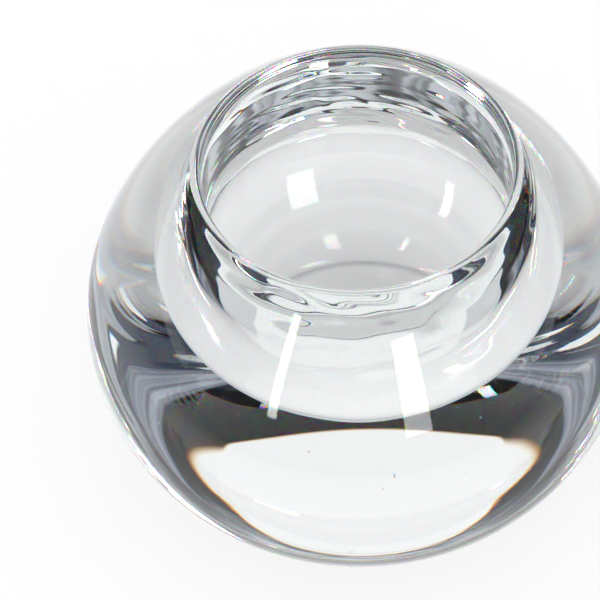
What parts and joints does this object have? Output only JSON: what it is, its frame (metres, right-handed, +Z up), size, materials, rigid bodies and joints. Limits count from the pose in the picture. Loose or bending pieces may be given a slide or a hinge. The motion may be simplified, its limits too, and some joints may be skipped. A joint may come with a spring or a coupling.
{
  "type": "floating candle bowl",
  "caption": "Heavy clear-glass candle bowl: a squashed ball with a ground flat foot and a deep round-bottomed well for a floating candle or tealight.",
  "frame": {"origin": "centre of the ground flat that the bowl stands on", "axes": "+Z up along the bowl's axis of revolution, out of the mouth of the well; +X and +Y are any two directions square to it"},
  "size_m": [0.09, 0.09, 0.0625],
  "materials": {
    "clear_glass": "fire-polished clear glass, ground and polished foot"
  },
  "bodies": {
    "root": {"glass_bowl": "clear_glass"}
  },
  "joints": []
}
